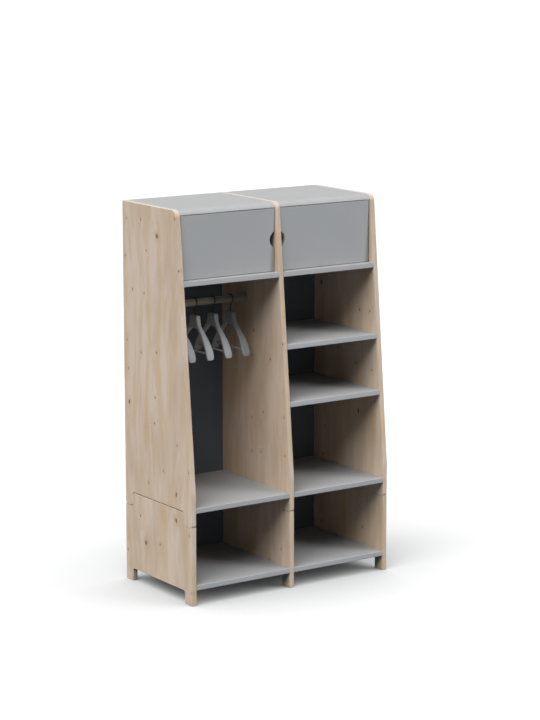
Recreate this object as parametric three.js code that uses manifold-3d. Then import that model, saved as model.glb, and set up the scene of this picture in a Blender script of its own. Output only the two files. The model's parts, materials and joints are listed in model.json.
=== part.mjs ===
// Double wardrobe for a cloakroom: a low base module and a tall wardrobe module, stacked on three
// stepped side panels. Two doors close the cupboards at the top, a rail with four hangers hangs in
// the left bay, and two shelves stand in the right bay.
// Units are millimetres, +Z is up, the front faces -Y, and the origin is the centre of the footprint.

import * as THREE from 'three';
import { mergeVertices } from 'three/addons/utils/BufferGeometryUtils.js';
import Module from 'manifold-3d';

const wasm = await Module();
wasm.setup();

// Overall
const bayWidth = 530;
const depth = 600;
const height = 1856;
const fitGap = 0.3;
const arcError = 0.12;

// Side panels
const panelThickness = 25;
const panelEasing = 2;
const baseHeight = 442;
const kinkHeight = 537;
const kinkRadius = 160;
const topSetback = 123;
const cornerRadius = 36;
const footHeight = 62;
const footWidth = 64;
const footCornerRadius = 13;
const footEasing = 3;
const stackFootHeight = 67;
const stackFootWidth = 66;
const stackFootRadius = 16;
const stackLipHeight = 4.5;
const lipEasing = 2.2;
const stackHollowRadius = 11;
const tongueGap = 2.5;

// Boards, heights given as clear spaces between them
const boardThickness = 25;
const boardEasing = 3;
const baseFloorHeight = 74;
const upperFloorLift = 3;
const lowSpace = 410;
const middleSpace = 250;
const cupboardSpace = 305;
const backThickness = 12;
const backInset = 2;

// Doors
const doorThickness = 18;
const doorRecess = 2;
const doorSideGap = 2;
const doorTopGap = 3;
const doorBottomGap = 2.5;
const doorEasing = 1.5;
const fingerRadius = 43;
const fingerHeight = 152;

// Door pivots and catches
const pivotDiameter = 6;
const pivotDepthInBoard = 8;
const pivotDepthInDoor = 13;
const bushWall = 1.8;
const bushFlange = 2.4;
const bushLength = 15;
const catchLength = 46;
const catchWidth = 15;
const catchHeight = 13;
const catchFromPanel = 24;
const catchEasing = 0.8;
const catchHeelRadius = 5;

// Shelf pins and stacking dowels
const pinDiameter = 5;
const pinDepth = 10;
const pinReach = 9;
const pinFromEdge = 45;
const dowelDiameter = 10;
const dowelLength = 40;
const dowelFromMiddle = 150;

// Rail
const railDiameter = 34;
const railDrop = 130.5;
const railToBack = 208;
const railSeat = 10;

// Hangers
const hangerCount = 4;
const hangerSpacing = 102;
const hangerFromPanel = 87.5;
const hookWire = 4.5;
const hookPlay = 2.5;
const hookEndAngle = -8;
const hookJoinAngle = 225;
const hookBend = 9;
const neckDrop = 62.5;
const neckHalfWidth = 31;
const neckThickness = 22;
const neckCorner = 4;
const neckSwell = 4;
const neckDepth = 60;
const archBreadth = 0.9;
const neckFlareWidth = 45;
const neckFlareDrop = 50;
const stemDepth = 24;
const stemHeadDiameter = 8;
const stemHeadHeight = 3;
const hangerHalfLength = 141;
const hangerHeight = 197.5;
const shoulderWidth = 41;
const shoulderThickness = 10;
const shoulderBow = [0.31, 0.22];
const shoulderFall = 0.65;
const armEndTaper = 0.45;
const armRootDepth = 19;
const hangerEasing = 3;
const barDiameter = 9;
const barLift = 26;
const barSeat = 4;

// Finishes
const wood = new THREE.MeshStandardMaterial({ color: 0xd3bc9f, roughness: 0.6, metalness: 0 });
const greyBoard = new THREE.MeshStandardMaterial({ color: 0x97999c, roughness: 0.55, metalness: 0 });
const darkBoard = new THREE.MeshStandardMaterial({ color: 0x474c54, roughness: 0.55, metalness: 0 });
const greyLacquer = new THREE.MeshStandardMaterial({ color: 0x9c9ea1, roughness: 0.45, metalness: 0 });
const darkWire = new THREE.MeshStandardMaterial({ color: 0x2c2c2e, roughness: 0.35, metalness: 0.9 });
const zinc = new THREE.MeshStandardMaterial({ color: 0xb9bcbf, roughness: 0.35, metalness: 0.9 });
const nylon = new THREE.MeshStandardMaterial({ color: 0xe6e5e0, roughness: 0.5, metalness: 0 });

// Places that follow from the sizes
const front = -depth / 2;
const back = depth / 2;
const pitch = bayWidth + panelThickness;
const shoulderHeight = baseHeight - stackFootHeight;
const upperFloorHeight = baseHeight + upperFloorLift;
const lowShelfHeight = upperFloorHeight + boardThickness + lowSpace;
const highShelfHeight = lowShelfHeight + boardThickness + middleSpace;
const topBoardHeight = height - boardThickness;
const cupboardFloorHeight = topBoardHeight - cupboardSpace - boardThickness;
const backFace = back - backInset - backThickness;
const boardLength = bayWidth - 2 * fitGap;
const railY = backFace - railToBack;
const railZ = cupboardFloorHeight - railDrop;
const barLevel = barLift - hangerHeight;
const bays = [{ side: 'left', sign: -1 }, { side: 'right', sign: 1 }];

const wardrobe = new THREE.Group();
wardrobe.name = 'double_wardrobe';

function addPiece(name, shape, material) {
  const geometry = shape.getMesh ? toGeometry(shape) : shape;
  const mesh = new THREE.Mesh(geometry, material);
  mesh.name = name;
  wardrobe.add(mesh);
  return mesh;
}

// Number of chords that keep an arc within arcError of the true curve
function stepsAlongArc(radius, sweep) {
  const chordAngle = 2 * Math.acos(1 - Math.min(1, arcError / radius));
  return Math.max(2, Math.ceil(Math.abs(sweep) / chordAngle));
}

// Closed geometry to a solid for joining and cutting
function toSolid(geometry) {
  const bare = new THREE.BufferGeometry();
  bare.setAttribute('position', geometry.getAttribute('position'));
  bare.setIndex(geometry.index);
  const merged = mergeVertices(bare, 1e-4);
  return new wasm.Manifold(new wasm.Mesh({
    numProp: 3,
    vertProperties: new Float32Array(merged.getAttribute('position').array),
    triVerts: new Uint32Array(merged.index.array),
  }));
}

function toGeometry(solid) {
  const mesh = solid.getMesh();
  const geometry = new THREE.BufferGeometry();
  geometry.setAttribute('position', new THREE.BufferAttribute(mesh.vertProperties, 3));
  geometry.setIndex(new THREE.BufferAttribute(mesh.triVerts, 1));
  geometry.computeVertexNormals();
  return geometry;
}

function cut(solid, tools) {
  return tools.reduce((rest, tool) => rest.subtract(toSolid(tool)), solid);
}

// Outline through corners given as [u, v, radius], each radius made by a true arc
function roundedOutline(corners) {
  const outline = [];
  corners.forEach(([u, v, radius = 0], i) => {
    const corner = new THREE.Vector2(u, v);
    const [pu, pv] = corners[(i + corners.length - 1) % corners.length];
    const [nu, nv] = corners[(i + 1) % corners.length];
    const toLast = new THREE.Vector2(pu, pv).sub(corner);
    const toNext = new THREE.Vector2(nu, nv).sub(corner);
    const room = Math.min(toLast.length(), toNext.length()) / 2;
    toLast.normalize();
    toNext.normalize();
    const half = Math.acos(THREE.MathUtils.clamp(toLast.dot(toNext), -1, 1)) / 2;
    const reach = Math.min(radius / Math.tan(half), room);
    if (reach < 0.01) {
      outline.push(corner);
      return;
    }
    const trueRadius = reach * Math.tan(half);
    const inward = toLast.clone().add(toNext).normalize();
    const centre = inward.multiplyScalar(trueRadius / Math.sin(half)).add(corner);
    const start = toLast.clone().multiplyScalar(reach).add(corner).sub(centre);
    const end = toNext.clone().multiplyScalar(reach).add(corner).sub(centre);
    const sweep = Math.atan2(start.cross(end), start.dot(end));
    const arcSteps = stepsAlongArc(trueRadius, sweep);
    for (let step = 0; step <= arcSteps; step += 1) {
      outline.push(start.clone().rotateAround(new THREE.Vector2(), sweep * step / arcSteps).add(centre));
    }
  });
  return outline;
}

// Outline in Y and Z, extruded along X from x to x + length, with eased face edges
function extrudeAlongX(outline, x, length, easing = 0) {
  const geometry = new THREE.ExtrudeGeometry(new THREE.Shape(outline), {
    depth: length - 2 * easing,
    bevelEnabled: easing > 0,
    bevelThickness: easing,
    bevelSize: easing,
    bevelOffset: -easing,
    bevelSegments: 1,
  });
  const axes = new THREE.Matrix4().makeBasis(
    new THREE.Vector3(0, 1, 0),
    new THREE.Vector3(0, 0, 1),
    new THREE.Vector3(1, 0, 0),
  );
  geometry.applyMatrix4(axes);
  return geometry.translate(x + easing, 0, 0);
}

function cylinderX(diameter, x0, x1, y, z, sides = 24) {
  const geometry = new THREE.CylinderGeometry(diameter / 2, diameter / 2, x1 - x0, sides);
  return geometry.rotateZ(Math.PI / 2).translate((x0 + x1) / 2, y, z);
}

function cylinderZ(diameter, x, y, z0, z1, sides = 24) {
  const geometry = new THREE.CylinderGeometry(diameter / 2, diameter / 2, z1 - z0, sides);
  return geometry.rotateX(Math.PI / 2).translate(x, y, (z0 + z1) / 2);
}

// Ring or stepped pin about Z: profile of [radius, height], closed or starting and ending on the axis
function turnedZ(profile, x, y, z, sides = 24) {
  const points = profile.map(([radius, level]) => new THREE.Vector2(radius, level));
  return new THREE.LatheGeometry(points, sides).rotateX(Math.PI / 2).translate(x, y, z);
}

// Front edge of the side panels: upright up to the kink, then leaning back to the top
function frontAt(z) {
  const rise = Math.max(0, z - kinkHeight) / (height - kinkHeight);
  return front + topSetback * rise;
}

// Hollow beside a shoulder's outer lip, in which a stacking foot's round corner stands: arc points
// from the lip's top down to the shoulder, for the rear foot (side 1) or the front foot (side -1)
function lipHollow(side) {
  const radius = stackFootRadius + fitGap;
  const centreY = side * (depth / 2 - stackFootRadius);
  const lipTurn = Math.acos(1 - stackLipHeight / radius);
  const steps = stepsAlongArc(radius, lipTurn);
  return Array.from({ length: steps + 1 }, (_, step) => {
    const turn = lipTurn * (1 - step / steps);
    return [centreY + side * radius * Math.sin(turn), shoulderHeight + radius * (1 - Math.cos(turn))];
  });
}

// Base panel: two feet below, and a tongue that stands up between two shoulders
function basePanelOutline() {
  const footIn = front + footWidth;
  const footOut = back - footWidth;
  const tongueIn = front + stackFootWidth + fitGap;
  const tongueOut = back - stackFootWidth - fitGap;
  const lip = shoulderHeight + stackLipHeight;
  return roundedOutline([
    [front, 0, footEasing],
    [footIn, 0, footEasing],
    [footIn, footHeight, footCornerRadius],
    [footOut, footHeight, footCornerRadius],
    [footOut, 0, footEasing],
    [back, 0, footEasing],
    [back, lip, lipEasing],
    ...lipHollow(1),
    [tongueOut, shoulderHeight, stackHollowRadius],
    [tongueOut, baseHeight, stackFootRadius],
    [tongueIn, baseHeight, stackFootRadius],
    [tongueIn, shoulderHeight, stackHollowRadius],
    ...lipHollow(-1).reverse(),
    [front, lip, lipEasing],
  ]);
}

// Upper panel: its round-cornered feet drop over the tongue, and its front edge leans back
// above the kink
function upperPanelOutline() {
  const seat = shoulderHeight + fitGap;
  const ledge = baseHeight + tongueGap;
  const footIn = front + stackFootWidth;
  const footOut = back - stackFootWidth;
  return roundedOutline([
    [front, seat, stackFootRadius],
    [footIn, seat, stackFootRadius],
    [footIn, ledge, stackFootRadius + fitGap],
    [footOut, ledge, stackFootRadius + fitGap],
    [footOut, seat, stackFootRadius],
    [back, seat, stackFootRadius],
    [back, height, footEasing],
    [front + topSetback, height, cornerRadius],
    [front, kinkHeight, kinkRadius],
  ]);
}

const columns = [
  { side: 'left', column: -1 },
  { side: 'middle', column: 0 },
  { side: 'right', column: 1 },
];

function sidePanels() {
  const shelves = [lowShelfHeight, highShelfHeight];
  columns.forEach(({ side, column }) => {
    const centre = column * pitch;
    const face = centre - panelThickness / 2;
    const farFace = centre + panelThickness / 2;
    const upperTools = [];
    const baseTools = [];
    const railBore = railDiameter + 2 * fitGap;
    if (column === -1) {
      upperTools.push(cylinderX(railBore, farFace - railSeat, farFace + 1, railY, railZ, 48));
    }
    if (column === 0) {
      upperTools.push(cylinderX(railBore, face - 1, face + railSeat, railY, railZ, 48));
    }
    if (column >= 0) {
      const mouth = column === 0 ? farFace : face;
      const inward = column === 0 ? -1 : 1;
      const ends = [mouth - inward, mouth + inward * (pinDepth + fitGap)].sort((a, b) => a - b);
      shelves.forEach((shelf) => {
        pinRows(shelf).forEach((y) => {
          upperTools.push(cylinderX(pinDiameter + 2 * fitGap, ...ends, y, pinHeight(shelf), 16));
        });
      });
    }
    [-dowelFromMiddle, dowelFromMiddle].forEach((y) => {
      const bore = dowelDiameter + 2 * fitGap;
      const reach = dowelLength / 2 + fitGap;
      baseTools.push(cylinderZ(bore, centre, y, baseHeight - reach, baseHeight + 1, 16));
      upperTools.push(cylinderZ(bore, centre, y, baseHeight - 1, baseHeight + fitGap + reach, 16));
    });
    const upper = toSolid(extrudeAlongX(upperPanelOutline(), face, panelThickness, panelEasing));
    const base = toSolid(extrudeAlongX(basePanelOutline(), face, panelThickness, panelEasing));
    addPiece(`upper_side_panel_${side}`, cut(upper, upperTools), wood);
    addPiece(`base_side_panel_${side}`, cut(base, baseTools), wood);
  });
}

// Dowels that line the two modules up
function stackingDowels() {
  const ends = [
    { end: 'front', y: -dowelFromMiddle },
    { end: 'back', y: dowelFromMiddle },
  ];
  columns.forEach(({ side, column }) => {
    ends.forEach(({ end, y }) => {
      const from = baseHeight - dowelLength / 2;
      const dowel = cylinderZ(dowelDiameter, column * pitch, y, from, from + dowelLength, 16);
      addPiece(`stacking_dowel_${side}_${end}`, dowel, wood);
    });
  });
}

// Board between two side panels: its front edge follows the panels' front edge
function boardOutline(level, rear) {
  return roundedOutline([
    [frontAt(level), level, boardEasing],
    [rear, level],
    [rear, level + boardThickness],
    [frontAt(level + boardThickness), level + boardThickness, boardEasing],
  ]);
}

function bayBoard(name, sign, level, tools = []) {
  const outline = boardOutline(level, backFace - fitGap);
  const start = sign * pitch / 2 - boardLength / 2;
  const board = toSolid(extrudeAlongX(outline, start, boardLength));
  addPiece(name, cut(board, tools), greyBoard);
}

// Top board: its front edge carries on the round corner of the side panels
function topBoardOutline() {
  const arcBack = front + topSetback + cornerRadius;
  const lowAngle = Math.asin(THREE.MathUtils.clamp((cornerRadius - boardThickness) / cornerRadius, -1, 1));
  const outline = [new THREE.Vector2(back, topBoardHeight), new THREE.Vector2(back, height)];
  const steps = stepsAlongArc(cornerRadius, Math.PI / 2 - lowAngle);
  for (let step = 0; step <= steps; step += 1) {
    const angle = Math.PI / 2 + (Math.PI / 2 - lowAngle) * step / steps;
    outline.push(new THREE.Vector2(
      arcBack + cornerRadius * Math.cos(angle),
      height - cornerRadius + cornerRadius * Math.sin(angle),
    ));
  }
  return outline;
}

function carcassBoards() {
  bays.forEach(({ side, sign }) => {
    const start = sign * pitch / 2 - boardLength / 2;
    const bore = pivotDiameter + 2 * fitGap;
    const top = toSolid(extrudeAlongX(topBoardOutline(), start, boardLength));
    const boreTop = topBoardHeight + pivotDepthInBoard + fitGap;
    const topBore = cylinderZ(bore, pivotX(sign), pivotY, topBoardHeight - 1, boreTop);
    addPiece(`top_board_${side}`, cut(top, [topBore]), greyBoard);
    const floorTop = cupboardFloorHeight + boardThickness;
    const boreFloor = floorTop - pivotDepthInBoard - fitGap;
    const floorBore = cylinderZ(bore, pivotX(sign), pivotY, boreFloor, floorTop + 1);
    bayBoard(`cupboard_floor_${side}`, sign, cupboardFloorHeight, [floorBore]);
    bayBoard(`upper_bottom_board_${side}`, sign, upperFloorHeight);
    bayBoard(`base_bottom_board_${side}`, sign, baseFloorHeight);
  });
}

// Shelves of the right bay, each on four round pins
function pinHeight(shelf) {
  return shelf - fitGap - pinDiameter / 2;
}

function pinRows(shelf) {
  return [frontAt(shelf) + pinFromEdge, backFace - pinFromEdge];
}

function shelvesAndPins() {
  const shelves = [
    { name: 'low_shelf', level: lowShelfHeight },
    { name: 'high_shelf', level: highShelfHeight },
  ];
  shelves.forEach(({ name, level }) => {
    bayBoard(name, 1, level);
    const ends = [panelThickness / 2 - pinDepth, panelThickness / 2 + bayWidth - pinReach];
    let number = 1;
    pinRows(level).forEach((y) => {
      ends.forEach((x) => {
        const pin = cylinderX(pinDiameter, x, x + pinDepth + pinReach, y, pinHeight(level), 12);
        addPiece(`${name}_pin_${number}`, pin, zinc);
        number += 1;
      });
    });
  });
}

// Back panels, set in between the side panels
function backPanels() {
  bays.forEach(({ side, sign }) => {
    const spans = [
      { module: 'upper', low: upperFloorHeight, high: topBoardHeight - fitGap },
      { module: 'base', low: baseFloorHeight, high: baseHeight },
    ];
    spans.forEach(({ module, low, high }) => {
      const panel = new THREE.BoxGeometry(boardLength, backThickness, high - low);
      panel.translate(sign * pitch / 2, backFace + backThickness / 2, (low + high) / 2);
      addPiece(`${module}_back_${side}`, panel, darkBoard);
    });
  });
}

// Doors: upright leaves between floor and top board, turning on pins at the outer side panels
const doorFront = front + topSetback + doorRecess;
const doorLow = cupboardFloorHeight + boardThickness + doorBottomGap;
const doorHigh = topBoardHeight - doorTopGap;
const pivotY = doorFront + doorThickness / 2;

function pivotX(sign) {
  return sign * (panelThickness / 2 + bayWidth - doorSideGap - doorThickness / 2);
}

function doorLeaf(sign) {
  const freeEdge = sign * (panelThickness / 2 + doorSideGap);
  const hingeEdge = pivotX(sign) + sign * doorThickness / 2;
  const leaf = new THREE.Shape(roundedOutline([
    [freeEdge, doorFront, doorEasing],
    [hingeEdge, doorFront, doorThickness / 2],
    [hingeEdge, doorFront + doorThickness, doorThickness / 2],
    [freeEdge, doorFront + doorThickness, doorEasing],
  ]));
  const geometry = new THREE.ExtrudeGeometry(leaf, { depth: doorHigh - doorLow, bevelEnabled: false });
  return toSolid(geometry.translate(0, 0, doorLow));
}

function fingerTool() {
  const sides = stepsAlongArc(fingerRadius, 2 * Math.PI);
  const tool = new THREE.CylinderGeometry(fingerRadius, fingerRadius, 3 * doorThickness, sides);
  return tool.translate(0, pivotY, doorLow + fingerHeight - doorBottomGap);
}

function doors() {
  bays.forEach(({ side, sign }) => {
    const x = pivotX(sign);
    const pivotRadius = pivotDiameter / 2;
    const boreRadius = pivotRadius + fitGap;
    const bushRadius = boreRadius + bushWall;
    const seatDiameter = 2 * (bushRadius + fitGap);
    const seatDepth = bushLength + fitGap;
    const leaf = cut(doorLeaf(sign), [
      fingerTool(),
      cylinderZ(seatDiameter, x, pivotY, doorLow - 1, doorLow + seatDepth),
      cylinderZ(seatDiameter, x, pivotY, doorHigh - seatDepth, doorHigh + 1),
    ]);
    addPiece(`door_${side}`, leaf, greyBoard);

    const ends = [
      { end: 'bottom', face: doorLow, gap: doorBottomGap, up: 1 },
      { end: 'top', face: doorHigh, gap: doorTopGap, up: -1 },
    ];
    ends.forEach(({ end, face, gap, up }) => {
      const board = face - up * gap;
      const pinEnds = [board - up * pivotDepthInBoard, face + up * pivotDepthInDoor].sort((a, b) => a - b);
      addPiece(`door_${side}_pivot_${end}`, cylinderZ(pivotDiameter, x, pivotY, ...pinEnds, 20), zinc);
      const rim = face - up * fitGap;
      const foot = board + up * fitGap;
      const profile = bushProfile(boreRadius, bushRadius, up * (foot - face), up * (rim - face));
      const bush = turnedZ(profile, 0, 0, 0, 16);
      if (up < 0) bush.rotateX(Math.PI);
      addPiece(`door_${side}_bush_${end}`, toSolid(bush.translate(x, pivotY, face)), nylon);
    });
  });
}

// Flanged bush: sleeve in the door leaf, flange in the gap, heights measured from the door's edge
function bushProfile(inner, outer, foot, rim) {
  return [
    [inner, foot],
    [outer + bushFlange, foot],
    [outer + bushFlange, rim],
    [outer, rim],
    [outer, bushLength],
    [inner, bushLength],
    [inner, foot],
  ];
}

// Magnetic catches under the top boards, just behind the doors' free edges
function doorCatches() {
  bays.forEach(({ side, sign }) => {
    const near = sign * (panelThickness / 2 + catchFromPanel);
    const start = sign > 0 ? near : near - catchLength;
    const face = doorFront + doorThickness + fitGap;
    const high = topBoardHeight - fitGap;
    const outline = roundedOutline([
      [face, high - catchHeight, catchEasing],
      [face + catchWidth, high - catchHeight, catchHeelRadius],
      [face + catchWidth, high],
      [face, high],
    ]);
    addPiece(`door_catch_${side}`, extrudeAlongX(outline, start, catchLength, catchEasing), nylon);
  });
}

// Hanging rail, let into the left and the middle side panel
function hangingRail() {
  const left = -panelThickness / 2 - bayWidth - railSeat + fitGap;
  const right = -panelThickness / 2 + railSeat - fitGap;
  addPiece('hanging_rail', cylinderX(railDiameter, left, right, railY, railZ, 48), wood);
}

// Hook centreline in the rail's cross plane: stem, bend, then an arc over the rail from the front
class HookPath extends THREE.Curve {
  constructor(centreZ, radius, stemLow) {
    super();
    const join = THREE.MathUtils.degToRad(hookJoinAngle);
    const end = THREE.MathUtils.degToRad(hookEndAngle);
    const slope = join - Math.PI / 2;
    const stemJoin = new THREE.Vector2(radius * Math.cos(join), centreZ + radius * Math.sin(join));
    const meet = stemJoin.y + stemJoin.x / Math.tan(slope - Math.PI / 2);
    const bendReach = hookBend * Math.tan((slope - Math.PI / 2) / 2);
    this.points = [new THREE.Vector2(0, stemLow)];
    const bendCentre = new THREE.Vector2(-hookBend, meet - bendReach);
    const bendSteps = 4;
    for (let step = 0; step <= bendSteps; step += 1) {
      const turn = (slope - Math.PI / 2) * step / bendSteps;
      const reach = new THREE.Vector2(Math.cos(turn), Math.sin(turn)).multiplyScalar(hookBend);
      this.points.push(reach.add(bendCentre));
    }
    const arcSteps = 22;
    for (let step = 0; step <= arcSteps; step += 1) {
      const turn = join + (end - join) * step / arcSteps;
      this.points.push(new THREE.Vector2(radius * Math.cos(turn), centreZ + radius * Math.sin(turn)));
    }
    this.travel = [0];
    for (let i = 1; i < this.points.length; i += 1) {
      this.travel.push(this.travel[i - 1] + this.points[i].distanceTo(this.points[i - 1]));
    }
  }

  getPoint(t, target = new THREE.Vector3()) {
    const distance = t * this.travel.at(-1);
    let i = 1;
    while (i < this.travel.length - 1 && this.travel[i] < distance) i += 1;
    const share = (distance - this.travel[i - 1]) / (this.travel[i] - this.travel[i - 1]);
    const place = this.points[i - 1].clone().lerp(this.points[i], share);
    return target.set(0, place.x, place.y);
  }
}

// Wire hook with a round head that turns inside the hanger's neck
function hookSolid() {
  const radius = railDiameter / 2 + hookPlay + hookWire / 2;
  const centreZ = railDiameter / 2 + fitGap - radius + hookWire / 2;
  const stemLow = -neckDrop - stemDepth;
  const section = new THREE.Shape();
  section.absarc(0, 0, hookWire / 2, 0, 2 * Math.PI);
  const wire = new THREE.ExtrudeGeometry(section, {
    curveSegments: 4,
    steps: 32,
    extrudePath: new HookPath(centreZ, radius, stemLow),
  });
  const head = cylinderZ(stemHeadDiameter, 0, 0, stemLow, stemLow + stemHeadHeight, 16);
  return toSolid(wire).add(toSolid(head));
}

// Half of the hanger's side view: stations from the neck's middle to the arm's end, each with the
// point on the upper edge, the point on the lower edge and half the width across the hanger
function hangerStations() {
  const flare = new THREE.Vector2(neckFlareWidth, -neckFlareDrop);
  const end = new THREE.Vector2(hangerHalfLength, -hangerHeight);
  const shoulder = new THREE.CubicBezierCurve(
    flare,
    new THREE.Vector2(
      THREE.MathUtils.lerp(flare.x, end.x, shoulderBow[0]),
      THREE.MathUtils.lerp(flare.y, end.y, shoulderBow[1]),
    ),
    new THREE.Vector2(end.x, THREE.MathUtils.lerp(flare.y, end.y, shoulderFall)),
    end,
  );
  const neckSide = new THREE.QuadraticBezierCurve(
    new THREE.Vector2(neckHalfWidth, -neckCorner),
    new THREE.Vector2(neckHalfWidth + neckSwell, -0.75 * neckFlareDrop),
    flare,
  );
  const armRoot = shoulder.getTangent(0).rotateAround(new THREE.Vector2(), -Math.PI / 2);
  armRoot.multiplyScalar(armRootDepth).add(flare);
  const arch = new THREE.QuadraticBezierCurve(
    new THREE.Vector2(0, -neckDepth),
    new THREE.Vector2(archBreadth * armRoot.x, -neckDepth),
    armRoot,
  );
  const half = neckThickness / 2;
  const neckTop = [
    new THREE.Vector2(0, 0),
    new THREE.Vector2(neckHalfWidth - neckCorner, 0),
    new THREE.Vector2(neckHalfWidth - 0.3 * neckCorner, -0.3 * neckCorner),
  ];
  const upper = [...neckTop, ...neckSide.getPoints(4)];
  const stations = upper.map((edge, i) => ({ edge, under: arch.getPoint(i / (upper.length - 1)), half }));
  const armSteps = 11;
  for (let step = 1; step <= armSteps; step += 1) {
    const t = step / armSteps;
    const edge = shoulder.getPoint(t);
    const inward = shoulder.getTangent(t).rotateAround(new THREE.Vector2(), -Math.PI / 2);
    const thin = THREE.MathUtils.smoothstep(t, 0, 0.5);
    const thickness = THREE.MathUtils.lerp(armRootDepth, shoulderThickness, thin);
    const under = inward.multiplyScalar(thickness).add(edge);
    const broad = THREE.MathUtils.smoothstep(t, 0, 0.8);
    const width = THREE.MathUtils.lerp(neckThickness, shoulderWidth, broad);
    const endTaper = step === armSteps ? Math.sqrt(1 - armEndTaper) : 1;
    stations.push({ edge, under, half: width / 2 * endTaper });
  }
  return stations;
}

// Contoured body, lofted through eight-cornered sections from one arm's end to the other
function hangerBodySolid() {
  const halfStations = hangerStations();
  const mirrored = halfStations.slice(1).reverse().map(({ edge, under, half }) => ({
    edge: new THREE.Vector2(-edge.x, edge.y),
    under: new THREE.Vector2(-under.x, under.y),
    half,
  }));
  const stations = [...mirrored, ...halfStations];
  const positions = [];
  stations.forEach(({ edge, under, half }) => {
    const reach = edge.distanceTo(under);
    const side = Math.min(hangerEasing, reach / 3);
    const corners = [[-half, side], [-half + side, 0], [half - side, 0], [half, side],
      [half, reach - side], [half - side, reach], [-half + side, reach], [-half, reach - side]];
    corners.forEach(([across, down]) => {
      const place = edge.clone().lerp(under, down / reach);
      positions.push(across, place.x, place.y);
    });
  });
  const ring = 8;
  const triangles = [];
  for (let i = 0; i < stations.length - 1; i += 1) {
    for (let k = 0; k < ring; k += 1) {
      const a = i * ring + k;
      const b = i * ring + (k + 1) % ring;
      triangles.push(a, b, a + ring, b, b + ring, a + ring);
    }
  }
  const last = (stations.length - 1) * ring;
  for (let k = 1; k < ring - 1; k += 1) {
    triangles.push(0, k + 1, k);
    triangles.push(last, last + k, last + k + 1);
  }
  const geometry = new THREE.BufferGeometry();
  geometry.setAttribute('position', new THREE.Float32BufferAttribute(positions, 3));
  geometry.setIndex(triangles);
  const stemBore = hookWire + 2 * fitGap;
  const headBore = stemHeadDiameter + 2 * fitGap;
  const barRadius = barDiameter / 2 + fitGap;
  const barBore = new THREE.CylinderGeometry(barRadius, barRadius, 2 * barReach(), 16);
  return cut(toSolid(geometry), [
    barBore.translate(0, 0, barLevel),
    cylinderZ(stemBore, 0, 0, -stemDepth + stemHeadHeight, 5, 16),
    cylinderZ(headBore, 0, 0, -stemDepth - fitGap, -stemDepth + stemHeadHeight + fitGap, 16),
  ]);
}

// Cross bar, let into blind bores in the arms' inner sides
function hangerBar() {
  const bar = new THREE.CylinderGeometry(barDiameter / 2, barDiameter / 2, 2 * (barReach() - fitGap), 16);
  return bar.translate(0, 0, barLevel);
}

// Distance from the neck's middle to the bottom of the bar's bore
function barReach() {
  const stations = hangerStations();
  const below = stations.findIndex(({ under }) => under.y < barLevel);
  const lower = stations[below].under;
  const upper = stations[below - 1].under;
  const share = (upper.y - barLevel) / (upper.y - lower.y);
  return THREE.MathUtils.lerp(upper.x, lower.x, share) + barSeat;
}

function hangers() {
  const hook = toGeometry(hookSolid());
  const body = toGeometry(hangerBodySolid());
  const bar = hangerBar();
  for (let number = 1; number <= hangerCount; number += 1) {
    const x = -panelThickness / 2 - hangerFromPanel - (hangerCount - number) * hangerSpacing;
    addPiece(`hanger_${number}_hook`, hook.clone(), darkWire).position.set(x, railY, railZ);
    addPiece(`hanger_${number}_body`, body.clone(), greyLacquer).position.set(x, railY, railZ - neckDrop);
    addPiece(`hanger_${number}_bar`, bar.clone(), greyLacquer).position.set(x, railY, railZ - neckDrop);
  }
}

sidePanels();
stackingDowels();
carcassBoards();
shelvesAndPins();
backPanels();
doors();
doorCatches();
hangingRail();
hangers();

export default wardrobe;
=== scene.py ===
# Double wardrobe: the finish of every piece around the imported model.
# The sections follow the furniture as it is put together, from the base module to the hangers.

import json
import math

import bpy
import bmesh
from mathutils import Euler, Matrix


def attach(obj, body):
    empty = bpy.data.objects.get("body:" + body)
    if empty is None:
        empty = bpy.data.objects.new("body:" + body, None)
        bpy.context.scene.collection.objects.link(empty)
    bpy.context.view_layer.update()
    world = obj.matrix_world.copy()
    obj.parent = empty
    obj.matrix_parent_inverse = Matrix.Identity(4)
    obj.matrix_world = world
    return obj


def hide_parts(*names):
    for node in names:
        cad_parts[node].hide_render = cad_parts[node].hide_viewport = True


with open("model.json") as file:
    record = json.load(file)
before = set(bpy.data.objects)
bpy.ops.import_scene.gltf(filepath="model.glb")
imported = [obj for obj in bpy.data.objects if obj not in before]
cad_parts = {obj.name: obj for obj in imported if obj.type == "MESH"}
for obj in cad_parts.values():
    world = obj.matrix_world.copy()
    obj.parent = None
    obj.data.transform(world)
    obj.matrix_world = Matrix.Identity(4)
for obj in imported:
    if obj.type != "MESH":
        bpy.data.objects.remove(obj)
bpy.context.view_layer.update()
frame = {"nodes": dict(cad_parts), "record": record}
bpy.ops.object.select_all(action="DESELECT")

# Camera
# The place and turn of the camera follow from the straight edges of the wardrobe in the photograph.
# The picture is 540 by 720, and the lens is given on the 36 mm side that stands upright.
camera_place = (-6.3195, -9.4331, 3.2437)
camera_turn = (math.radians(90 - 10.8396), math.radians(0.0393), math.radians(-34.147))
camera_lens = 119.515

camera_data = bpy.data.cameras.new("camera")
camera_data.sensor_fit = "VERTICAL"
camera_data.sensor_height = 36
camera_data.lens = camera_lens
camera_data.clip_end = 300
camera = bpy.data.objects.new("camera", camera_data)
camera.location = camera_place
camera.rotation_euler = camera_turn
bpy.context.collection.objects.link(camera)
bpy.context.scene.camera = camera
bpy.context.scene.view_settings.view_transform = "Standard"

# Light
# A broad soft lamp high on the left and a low one from the front right, in a dim bluish world.
# The shade in the open bays comes from their depth, as in the photograph.
key_strength = 4.5
key_spread = 56
key_height = 54
key_side = -72
key_tint = (1.0, 1.0, 1.0)
fill_strength = 1.95
fill_spread = 28
fill_height = 25
fill_side = 42
fill_tint = (0.985, 1.0, 1.03)
world_tint = (0.70, 0.85, 1.0)
world_strength = 0.12


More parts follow.
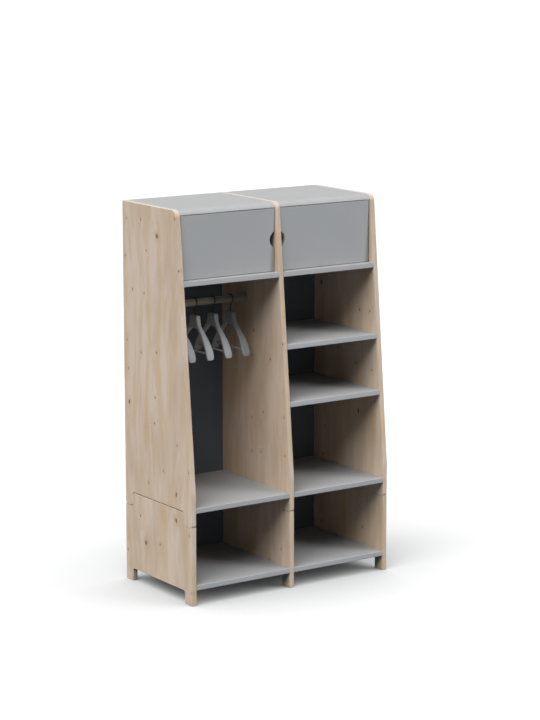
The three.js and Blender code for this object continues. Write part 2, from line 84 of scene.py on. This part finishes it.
def soft_sun(name, tint, strength, spread, height, side):
    """A distant lamp: its height above the floor and its side, seen from the front, in degrees."""
    data = bpy.data.lights.new(name, "SUN")
    data.color = tint
    data.energy = strength
    data.angle = math.radians(spread)
    lamp = bpy.data.objects.new(name, data)
    lamp.rotation_euler = Euler((math.radians(90 - height), 0, math.radians(side)))
    bpy.context.collection.objects.link(lamp)


soft_sun("key", key_tint, key_strength, key_spread, key_height, key_side)
soft_sun("fill", fill_tint, fill_strength, fill_spread, fill_height, fill_side)


def seen_or_mirrored(nodes, links):
    """One for rays that show a surface, straight or in gloss or glass, and zero for its light."""
    ray = nodes.new("ShaderNodeLightPath")
    share = ray.outputs["Is Camera Ray"]
    for name in ("Is Glossy Ray", "Is Transmission Ray"):
        either = nodes.new("ShaderNodeMath")
        either.operation = "MAXIMUM"
        links.new(share, either.inputs[0])
        links.new(ray.outputs[name], either.inputs[1])
        share = either.outputs[0]
    return share


world = bpy.data.worlds.new("studio")
bpy.context.scene.world = world
world.use_nodes = True
world_nodes = world.node_tree.nodes
world_links = world.node_tree.links
world_nodes.clear()
seen_white = world_nodes.new("ShaderNodeBackground")
seen_white.inputs["Color"].default_value = (1, 1, 1, 1)
dim_light = world_nodes.new("ShaderNodeBackground")
dim_light.inputs["Color"].default_value = (*world_tint, 1)
dim_light.inputs["Strength"].default_value = world_strength
world_mix = world_nodes.new("ShaderNodeMixShader")
world_out = world_nodes.new("ShaderNodeOutputWorld")
world_links.new(seen_or_mirrored(world_nodes, world_links), world_mix.inputs[0])
world_links.new(dim_light.outputs[0], world_mix.inputs[1])
world_links.new(seen_white.outputs[0], world_mix.inputs[2])
world_links.new(world_mix.outputs[0], world_out.inputs["Surface"])

# Floor
# A plain white floor that the camera sees bright, and that throws only a little light back.
# Part of its seen white is its own glow, dimmed by ambient occlusion close to the feet into a
# painted shadow, so the long shadow stays soft.
floor_size = 220
floor_seen = 0.22
floor_glow = 0.8
floor_bounce = (0.08, 0.11, 0.14)
shade_reach = 1.1

bpy.ops.mesh.primitive_plane_add(size=floor_size, location=(0, 0, 0))
floor = bpy.context.object
floor.name = "floor"
floor_material = bpy.data.materials.new("floor_white")
floor_material.use_nodes = True
nodes = floor_material.node_tree.nodes
links = floor_material.node_tree.links
nodes.clear()
seen = nodes.new("ShaderNodeBsdfDiffuse")
seen.inputs["Color"].default_value = (floor_seen, floor_seen, floor_seen, 1)
# Ambient occlusion dims the glow near the wardrobe: a painted shadow on the floor
closeness = nodes.new("ShaderNodeAmbientOcclusion")
closeness.inputs["Distance"].default_value = shade_reach
glow = nodes.new("ShaderNodeEmission")
glow.inputs["Strength"].default_value = floor_glow
glowing = nodes.new("ShaderNodeAddShader")
bounce = nodes.new("ShaderNodeBsdfDiffuse")
bounce.inputs["Color"].default_value = (*floor_bounce, 1)
mix = nodes.new("ShaderNodeMixShader")
out = nodes.new("ShaderNodeOutputMaterial")
links.new(seen_or_mirrored(nodes, links), mix.inputs[0])
links.new(bounce.outputs[0], mix.inputs[1])
links.new(closeness.outputs["Color"], glow.inputs["Color"])
links.new(seen.outputs[0], glowing.inputs[0])
links.new(glow.outputs[0], glowing.inputs[1])
links.new(glowing.outputs[0], mix.inputs[2])
links.new(mix.outputs[0], out.inputs["Surface"])
floor.data.materials.append(floor_material)

# Side panels
# Glued spruce staves, lacquered clear, cut with a stepped joint between base and wardrobe module.
# The arrises are rounded over with a router, and the grain stands upright.
wood_pale = (0.610, 0.494, 0.400)
wood_pink = (0.545, 0.416, 0.298)
wood_tan = (0.585, 0.405, 0.232)
wood_late = (0.370, 0.250, 0.158)
wood_halo = (0.450, 0.298, 0.180)
wood_knot = (0.105, 0.058, 0.034)
wood_end = (0.500, 0.470, 0.425)
# The base panels' faces that look up, inside the stepped joint, are painted near black: painted
# shade so the joint reads as a dark line
joint_painted_shade = (0.120, 0.075, 0.048)
end_share = 0.85
knot_spread = (7.4, 5.0)
drift_reach = 0.16
panel_rounding = 0.0011
end_slope = (0.6, 0.95)
grain_bump = 0.25
grain_depth = 0.0004
satin_gloss = 0.06
merge_distance = 0.00001
flat_angle = 0.5


def finished_copy(node, material, rounding=0.0, angle=30):
    """A merged copy of a CAD node with rounded arrises, standing for the node on the same body."""
    source = frame["nodes"][node]
    piece = bpy.data.objects.new(node + "_finish", source.data.copy())
    bpy.context.collection.objects.link(piece)
    bpy.ops.object.select_all(action="DESELECT")
    piece.select_set(True)
    bpy.context.view_layer.objects.active = piece
    bpy.ops.object.mode_set(mode="EDIT")
    bpy.ops.mesh.select_all(action="SELECT")
    bpy.ops.mesh.remove_doubles(threshold=merge_distance)
    bpy.ops.mesh.dissolve_limited(angle_limit=math.radians(flat_angle))
    if rounding:
        mesh = bmesh.from_edit_mesh(piece.data)
        for edge in mesh.edges:
            edge.select_set(edge.is_manifold and edge.calc_face_angle() > math.radians(angle))
        bmesh.update_edit_mesh(piece.data)
        bpy.ops.mesh.bevel(offset=rounding, segments=2, profile=0.5, clamp_overlap=True)
    bpy.ops.object.mode_set(mode="OBJECT")
    bpy.ops.object.shade_smooth_by_angle(angle=math.radians(angle))
    weighting = piece.modifiers.new("even_faces", "WEIGHTED_NORMAL")
    weighting.keep_sharp = True
    bpy.ops.object.modifier_apply(modifier=weighting.name)
    piece.data.materials.clear()
    piece.data.materials.append(material)
    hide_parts(node)
    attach(piece, body_of_node[node])


# The body that each CAD node belongs to, so that its finished copy moves with it
body_of_node = {}
for body, members in frame["record"]["behaviour"]["bodies"].items():
    for member in members:
        body_of_node[member] = body


def new_socket(group, name, kind, direction, value=None):
    socket = group.interface.new_socket(name=name, socket_type=kind, in_out=direction)
    if value is not None:
        socket.default_value = value
    return socket


def grain_group():
    """Standing grain: drifting streaks, late wood lines, and small dark knots with brown halos."""
    group = bpy.data.node_groups.new("standing_grain", "ShaderNodeTree")
    new_socket(group, "Vector", "NodeSocketVector", "INPUT")
    new_socket(group, "Knots", "NodeSocketFloat", "INPUT", 1.0)
    new_socket(group, "Tone", "NodeSocketColor", "INPUT", (1, 1, 1, 1))
    new_socket(group, "Color", "NodeSocketColor", "OUTPUT")
    new_socket(group, "Roughness", "NodeSocketFloat", "OUTPUT")
    new_socket(group, "Height", "NodeSocketFloat", "OUTPUT")
    nodes = group.nodes
    links = group.links
    source = nodes.new("NodeGroupInput")
    result = nodes.new("NodeGroupOutput")

    def put(value, socket):
        if isinstance(value, bpy.types.NodeSocket):
            links.new(value, socket)
        else:
            socket.default_value = value

    def figure(operation, *values):
        node = nodes.new("ShaderNodeMath")
        node.operation = operation
        for value, socket in zip(values, node.inputs):
            put(value, socket)
        return node.outputs[0]

    def stretched(vector, scale, shift=(0, 0, 0)):
        node = nodes.new("ShaderNodeMapping")
        node.inputs["Scale"].default_value = scale
        node.inputs["Location"].default_value = shift
        put(vector, node.inputs["Vector"])
        return node.outputs[0]

    def noise(vector, detail=2.0, roughness=0.5, distortion=0.0):
        node = nodes.new("ShaderNodeTexNoise")
        node.inputs["Scale"].default_value = 1.0
        node.inputs["Detail"].default_value = detail
        node.inputs["Roughness"].default_value = roughness
        node.inputs["Distortion"].default_value = distortion
        put(vector, node.inputs["Vector"])
        return node.outputs["Fac"]

    def soft_step(value, low, high, at_low=0.0, at_high=1.0):
        node = nodes.new("ShaderNodeMapRange")
        node.interpolation_type = "SMOOTHSTEP"
        numbers = {"From Min": low, "From Max": high, "To Min": at_low, "To Max": at_high}
        for name, number in numbers.items():
            node.inputs[name].default_value = number
        put(value, node.inputs["Value"])
        return node.outputs["Result"]

    def mixed(share, first, second):
        node = nodes.new("ShaderNodeMix")
        node.data_type = "RGBA"
        put(share, node.inputs[0])
        put(first, node.inputs[6])
        put(second, node.inputs[7])
        return node.outputs[2]

    def pushed(vector, amount, direction):
        scaled = nodes.new("ShaderNodeVectorMath")
        scaled.operation = "SCALE"
        scaled.inputs[0].default_value = direction
        put(amount, scaled.inputs["Scale"])
        node = nodes.new("ShaderNodeVectorMath")
        node.operation = "ADD"
        put(vector, node.inputs[0])
        put(scaled.outputs[0], node.inputs[1])
        return node.outputs[0]

    # The streaks drift sideways as they rise
    wander = stretched(source.outputs["Vector"], (2.6, 2.6, 1.3))
    drift = figure("SUBTRACT", noise(wander, 1.0), 0.5)
    drifted = pushed(source.outputs["Vector"], drift, (drift_reach, drift_reach, 0.0))

    # Knots run through the panel's thickness, so they are placed by depth and height alone
    parts = nodes.new("ShaderNodeSeparateXYZ")
    put(drifted, parts.inputs[0])
    flat = nodes.new("ShaderNodeCombineXYZ")
    put(figure("MULTIPLY", parts.outputs["Y"], knot_spread[0]), flat.inputs["X"])
    put(figure("MULTIPLY", parts.outputs["Z"], knot_spread[1]), flat.inputs["Y"])
    knots = nodes.new("ShaderNodeTexVoronoi")
    knots.voronoi_dimensions = "2D"
    knots.inputs["Scale"].default_value = 1.0
    put(flat.outputs[0], knots.inputs["Vector"])
    chance = nodes.new("ShaderNodeSeparateColor")
    put(knots.outputs["Color"], chance.inputs[0])
    chosen = soft_step(chance.outputs["Red"], 0.42, 0.46)
    sound = figure("MULTIPLY", chosen, source.outputs["Knots"])
    large = soft_step(chance.outputs["Green"], 0.72, 0.78, 1.0, 0.45)
    reach = figure("MULTIPLY", knots.outputs["Distance"], large)
    core = figure("MULTIPLY", soft_step(reach, 0.014, 0.034, 1.0, 0.0), sound)
    halo = figure("MULTIPLY", soft_step(reach, 0.020, 0.105, 1.0, 0.0), sound)
    swirl = figure("MULTIPLY", soft_step(reach, 0.030, 0.300, 1.0, 0.0), sound)
    flowing = pushed(drifted, swirl, (0.012, 0.012, 0.0))

    # The figure goes from broad drifts of colour down to single fibres, along the grain
    pink = soft_step(noise(stretched(flowing, (21, 21, 3.0), (3, 7, 1)), 2.0, 0.55), 0.40, 0.64)
    tan = soft_step(noise(stretched(flowing, (24, 24, 3.2), (8, 2, 5)), 2.0, 0.55), 0.44, 0.70)
    patch = soft_step(noise(stretched(flowing, (5, 5, 1.2), (6, 3, 2)), 1.0, 0.5), 0.36, 0.62)
    cloud = soft_step(noise(stretched(flowing, (7, 7, 2.8), (1, 4, 9)), 2.0, 0.5), 0.35, 0.70)
    lines = noise(stretched(flowing, (105, 105, 2.3)), 3.0, 0.6, 0.5)
    hair = noise(stretched(flowing, (520, 520, 9)), 2.0, 0.6)

    # The colours are laid over each other in the same order, and the knots come last
    colour = mixed(figure("MULTIPLY", pink, 0.85), (*wood_pale, 1), (*wood_pink, 1))
    colour = mixed(figure("MULTIPLY", tan, figure("MULTIPLY", patch, 0.65)), colour, (*wood_tan, 1))
    colour = mixed(figure("MULTIPLY", cloud, 0.26), colour, (*wood_late, 1))
    colour = mixed(soft_step(lines, 0.54, 0.78, 0.0, 0.26), colour, (*wood_late, 1))
    colour = mixed(soft_step(hair, 0.50, 0.80, 0.0, 0.14), colour, (*wood_late, 1))
    colour = mixed(figure("MULTIPLY", halo, 0.42), colour, (*wood_halo, 1))
    colour = mixed(figure("MULTIPLY", core, 0.85), colour, (*wood_knot, 1))
    # Last the colour is multiplied by a tint, painted shade for a piece that lies in shadow
    toned = nodes.new("ShaderNodeVectorMath")
    toned.operation = "MULTIPLY"
    put(colour, toned.inputs[0])
    put(source.outputs["Tone"], toned.inputs[1])
    put(toned.outputs[0], result.inputs["Color"])
    put(soft_step(lines, 0.3, 0.8, 0.46, 0.60), result.inputs["Roughness"])
    relief = figure("ADD", figure("MULTIPLY", hair, 0.5), lines)
    put(figure("SUBTRACT", relief, figure("MULTIPLY", core, 0.6)), result.inputs["Height"])
    return group


standing_grain = grain_group()


def wood_material(name, offset, turn=(0, 0, 0), end=wood_end, **values):
    """Clear lacquered wood whose grain runs along Z, or along another axis once turned."""
    material = bpy.data.materials.new(name)
    material.use_nodes = True
    nodes = material.node_tree.nodes
    links = material.node_tree.links
    shader = nodes["Principled BSDF"]
    place = nodes.new("ShaderNodeTexCoord")
    mapping = nodes.new("ShaderNodeMapping")
    mapping.inputs["Location"].default_value = offset
    mapping.inputs["Rotation"].default_value = turn
    grain = nodes.new("ShaderNodeGroup")
    grain.node_tree = standing_grain
    for key, value in values.items():
        grain.inputs[key].default_value = value
    bump = nodes.new("ShaderNodeBump")
    bump.inputs["Strength"].default_value = grain_bump
    bump.inputs["Distance"].default_value = grain_depth
    # Faces of a standing panel that look up are cut across the grain and take the end colour; on
    # the base panels that colour is painted shade in the joint
    parts = nodes.new("ShaderNodeSeparateXYZ")
    end_grain_and_joint_shade = nodes.new("ShaderNodeMapRange")
    end_grain_and_joint_shade.inputs["From Min"].default_value = end_slope[0]
    end_grain_and_joint_shade.inputs["From Max"].default_value = end_slope[1]
    end_grain_and_joint_shade.inputs["To Max"].default_value = end_share
    ended = nodes.new("ShaderNodeMix")
    ended.data_type = "RGBA"
    ended.inputs[7].default_value = (*end, 1)
    links.new(place.outputs["Object"], mapping.inputs["Vector"])
    links.new(mapping.outputs[0], grain.inputs["Vector"])
    links.new(place.outputs["Normal"], parts.inputs[0])
    links.new(parts.outputs["Z"], end_grain_and_joint_shade.inputs["Value"])
    links.new(end_grain_and_joint_shade.outputs[0], ended.inputs[0])
    links.new(grain.outputs["Color"], ended.inputs[6])
    links.new(ended.outputs[2], shader.inputs["Base Color"])
    links.new(grain.outputs["Roughness"], shader.inputs["Roughness"])
    links.new(grain.outputs["Height"], bump.inputs["Height"])
    links.new(bump.outputs[0], shader.inputs["Normal"])
    shader.inputs["Specular IOR Level"].default_value = satin_gloss
    return material


panel_number = 0
# The base panels take the near black painted shade on their faces that look up, where the joint
# lies; the upper panels take the end grain colour
for module, end in (("base", joint_painted_shade), ("upper", wood_end)):
    for side in ("left", "middle", "right"):
        panel_number += 1
        offset = (0.37 * panel_number, 1.31 * panel_number, 2.17 * panel_number)
        panel_wood = wood_material(f"wood_{module}_{side}", offset, end=end)
        finished_copy(f"{module}_side_panel_{side}", panel_wood, panel_rounding, 20)

# Stacking dowels
# Turned beech pegs that line the two modules up, hidden in the side panels.
dowel_rounding = 0.0005
dowel_wood = wood_material("wood_dowel", (3.1, 0.4, 7.7), Knots=0.0)
for side in ("left", "middle", "right"):
    for end in ("front", "back"):
        finished_copy(f"stacking_dowel_{side}_{end}", dowel_wood, dowel_rounding)

# Boards and back panels
# Board faced with plain grey laminate, with eased front edges. Faces that look to the front, door
# fronts and board edges alike, are painted a little lighter as painted light from the front.
laminate_grey = (0.342, 0.339, 0.336)
# How much lighter faces that look to the front are painted, as painted light
front_painted_light = 1.07
front_light_slope = (-0.5, -0.9)
pebble_scale = 900
pebble_bump = 0.12
pebble_depth = 0.0002
cloud_scale = 6
tone_drift = 0.04
gloss_drift = 0.06
board_rounding = 0.0006
board_roughness = 0.72
back_grey = (0.128, 0.147, 0.168)


def laminate_material(name, colour, roughness, lift=1.0):
    """Satin laminate: a fine pebble, faint clouds in tone and gloss, and painted light that makes
    faces looking to the front lighter.
    """
    material = bpy.data.materials.new(name)
    material.use_nodes = True
    nodes = material.node_tree.nodes
    links = material.node_tree.links
    shader = nodes["Principled BSDF"]
    place = nodes.new("ShaderNodeTexCoord")
    pebble = nodes.new("ShaderNodeTexNoise")
    pebble.inputs["Scale"].default_value = pebble_scale
    pebble.inputs["Detail"].default_value = 2
    cloud = nodes.new("ShaderNodeTexNoise")
    cloud.inputs["Scale"].default_value = cloud_scale
    cloud.inputs["Detail"].default_value = 4
    tone = nodes.new("ShaderNodeMix")
    tone.data_type = "RGBA"
    tone.inputs[6].default_value = (*[(1 - tone_drift) * value for value in colour], 1)
    tone.inputs[7].default_value = (*[(1 + tone_drift) * value for value in colour], 1)
    gloss = nodes.new("ShaderNodeMapRange")
    gloss.inputs["To Min"].default_value = roughness - gloss_drift
    gloss.inputs["To Max"].default_value = roughness + gloss_drift
    bump = nodes.new("ShaderNodeBump")
    bump.inputs["Strength"].default_value = pebble_bump
    bump.inputs["Distance"].default_value = pebble_depth
    # Faces that look to the front are painted lighter, as painted light from the front
    parts = nodes.new("ShaderNodeSeparateXYZ")
    front_light_mask = nodes.new("ShaderNodeMapRange")
    front_light_mask.inputs["From Min"].default_value = front_light_slope[0]
    front_light_mask.inputs["From Max"].default_value = front_light_slope[1]
    front_light_mask.inputs["To Min"].default_value = 1.0
    front_light_mask.inputs["To Max"].default_value = lift
    lifted = nodes.new("ShaderNodeVectorMath")
    lifted.operation = "SCALE"
    for texture in (pebble, cloud):
        links.new(place.outputs["Object"], texture.inputs["Vector"])
    links.new(place.outputs["Normal"], parts.inputs[0])
    links.new(parts.outputs["Y"], front_light_mask.inputs["Value"])
    links.new(cloud.outputs["Fac"], tone.inputs[0])
    links.new(tone.outputs[2], lifted.inputs[0])
    links.new(front_light_mask.outputs[0], lifted.inputs["Scale"])
    links.new(lifted.outputs[0], shader.inputs["Base Color"])
    links.new(cloud.outputs["Fac"], gloss.inputs["Value"])
    links.new(gloss.outputs[0], shader.inputs["Roughness"])
    links.new(pebble.outputs["Fac"], bump.inputs["Height"])
    links.new(bump.outputs[0], shader.inputs["Normal"])
    shader.inputs["Specular IOR Level"].default_value = satin_gloss
    return material


grey_laminate = laminate_material("grey_laminate", laminate_grey, board_roughness, front_painted_light)
dark_laminate = laminate_material("dark_laminate", back_grey, board_roughness)
for side in ("left", "right"):
    for board in ("base_bottom_board", "upper_bottom_board", "cupboard_floor", "top_board"):
        finished_copy(f"{board}_{side}", grey_laminate, board_rounding)
    for module in ("base", "upper"):
        finished_copy(f"{module}_back_{side}", dark_laminate, board_rounding)

# Shelves of the right bay
# The same grey board, each shelf lying on four zinc plated pins.
zinc_grey = (0.50, 0.51, 0.53)
zinc_roughness = 0.35
mottle_scale = 240
mottle_drift = 0.15
mottle_gloss = 0.08
pin_rounding = 0.0004


def metal_material(name, colour, roughness):
    """Drawn metal with a faint mottle in its colour and its gloss."""
    material = bpy.data.materials.new(name)
    material.use_nodes = True
    nodes = material.node_tree.nodes
    links = material.node_tree.links
    shader = nodes["Principled BSDF"]
    shader.inputs["Metallic"].default_value = 1
    place = nodes.new("ShaderNodeTexCoord")
    mottle = nodes.new("ShaderNodeTexNoise")
    mottle.inputs["Scale"].default_value = mottle_scale
    mottle.inputs["Detail"].default_value = 3
    tone = nodes.new("ShaderNodeMix")
    tone.data_type = "RGBA"
    tone.inputs[6].default_value = (*[(1 - mottle_drift) * value for value in colour], 1)
    tone.inputs[7].default_value = (*[(1 + mottle_drift) * value for value in colour], 1)
    gloss = nodes.new("ShaderNodeMapRange")
    gloss.inputs["To Min"].default_value = roughness - mottle_gloss
    gloss.inputs["To Max"].default_value = roughness + mottle_gloss
    links.new(place.outputs["Object"], mottle.inputs["Vector"])
    links.new(mottle.outputs["Fac"], tone.inputs[0])
    links.new(tone.outputs[2], shader.inputs["Base Color"])
    links.new(mottle.outputs["Fac"], gloss.inputs["Value"])
    links.new(gloss.outputs[0], shader.inputs["Roughness"])
    return material


zinc = metal_material("zinc", zinc_grey, zinc_roughness)
for shelf in ("low_shelf", "high_shelf"):
    finished_copy(shelf, grey_laminate, board_rounding)
    for number in range(1, 5):
        finished_copy(f"{shelf}_pin_{number}", zinc, pin_rounding)

# Doors
# Grey laminated leaves on steel pins that turn in nylon bushes, held shut by magnetic catches.
nylon_white = (0.78, 0.77, 0.74)
nylon_roughness = 0.45
door_rounding = 0.0007
catch_rounding = 0.0003
bush_rounding = 0.0002
nylon = laminate_material("nylon", nylon_white, nylon_roughness)
for side in ("left", "right"):
    finished_copy(f"door_{side}", grey_laminate, door_rounding)
    finished_copy(f"door_catch_{side}", nylon, catch_rounding)
    for end in ("bottom", "top"):
        finished_copy(f"door_{side}_pivot_{end}", zinc, pin_rounding)
        finished_copy(f"door_{side}_bush_{end}", nylon, bush_rounding)

# Hanging rail
# A turned wooden rail, its ends let into the side panels.
rail_turn = (0, math.radians(90), 0)
# The rail's wood is darkened to about half and made a touch greyer: painted shade, as the rail lies
# in the shadow of the cupboard above
rail_painted_shade = (0.46, 0.49, 0.48, 1)
rail_wood = wood_material("wood_rail", (0.3, 5.2, 1.9), rail_turn, Knots=0.6, Tone=rail_painted_shade)
finished_copy("hanging_rail", rail_wood)

# Hangers
# Shaped grey bodies with a round cross bar, turning on dark wire hooks.
lacquer_grey = (0.350, 0.356, 0.361)
lacquer_roughness = 0.42
wire_dark = (0.022, 0.022, 0.024)
wire_roughness = 0.38
hanger_rounding = 0.0008
wire_angle = 50
grey_lacquer = laminate_material("grey_lacquer", lacquer_grey, lacquer_roughness)
dark_wire = metal_material("dark_wire", wire_dark, wire_roughness)
for number in range(1, 5):
    finished_copy(f"hanger_{number}_hook", dark_wire, angle=wire_angle)
    finished_copy(f"hanger_{number}_body", grey_lacquer, hanger_rounding)
    finished_copy(f"hanger_{number}_bar", grey_lacquer)
